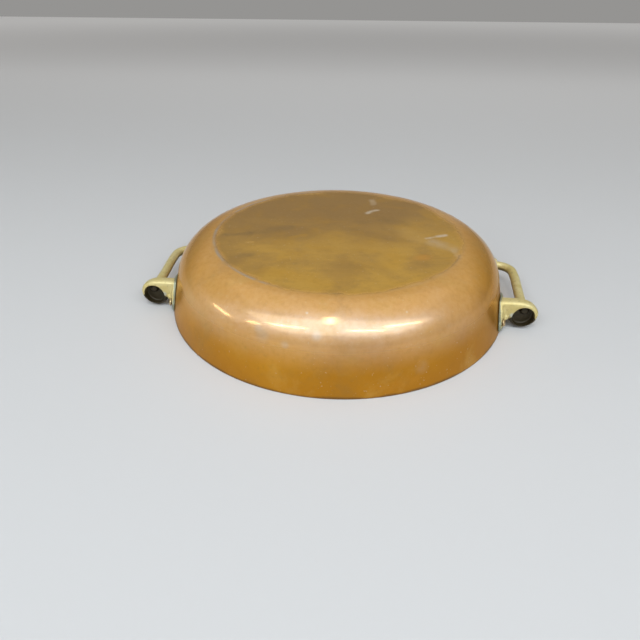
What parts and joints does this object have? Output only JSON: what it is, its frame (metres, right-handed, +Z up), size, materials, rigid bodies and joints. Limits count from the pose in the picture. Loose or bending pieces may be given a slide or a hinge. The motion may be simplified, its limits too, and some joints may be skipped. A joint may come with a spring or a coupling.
{
  "type": "gratin pan",
  "caption": "Round shallow copper gratin pan with a flat base, a rounded knuckle and two brass bow handles on riveted lugs, lying mouth down.",
  "frame": {"origin": "centre of the rim's circle, on the surface that the rim rests on", "axes": "+Z up through the flat base, X through the two handles, -Y towards the hooded ends of the handles"},
  "size_m": [0.2734, 0.24, 0.0483],
  "materials": {
    "copper": "aged copper sheet, polished sides, dull mottled base, tinned inside",
    "brass": "pale cast brass, dull, with verdigris where it meets the copper",
    "rivet_copper": "hammered copper rivet heads"
  },
  "bodies": {
    "root": {"pan_body": "copper", "right_front_lug": "brass", "right_rear_lug": "brass", "right_bow": "brass", "left_front_lug": "brass", "left_rear_lug": "brass", "left_bow": "brass", "right_front_tip_rivet": "rivet_copper", "right_front_root_rivet": "rivet_copper", "right_rear_tip_rivet": "rivet_copper", "right_rear_root_rivet": "rivet_copper", "left_front_tip_rivet": "rivet_copper", "left_front_root_rivet": "rivet_copper", "left_rear_tip_rivet": "rivet_copper", "left_rear_root_rivet": "rivet_copper"}
  },
  "joints": []
}
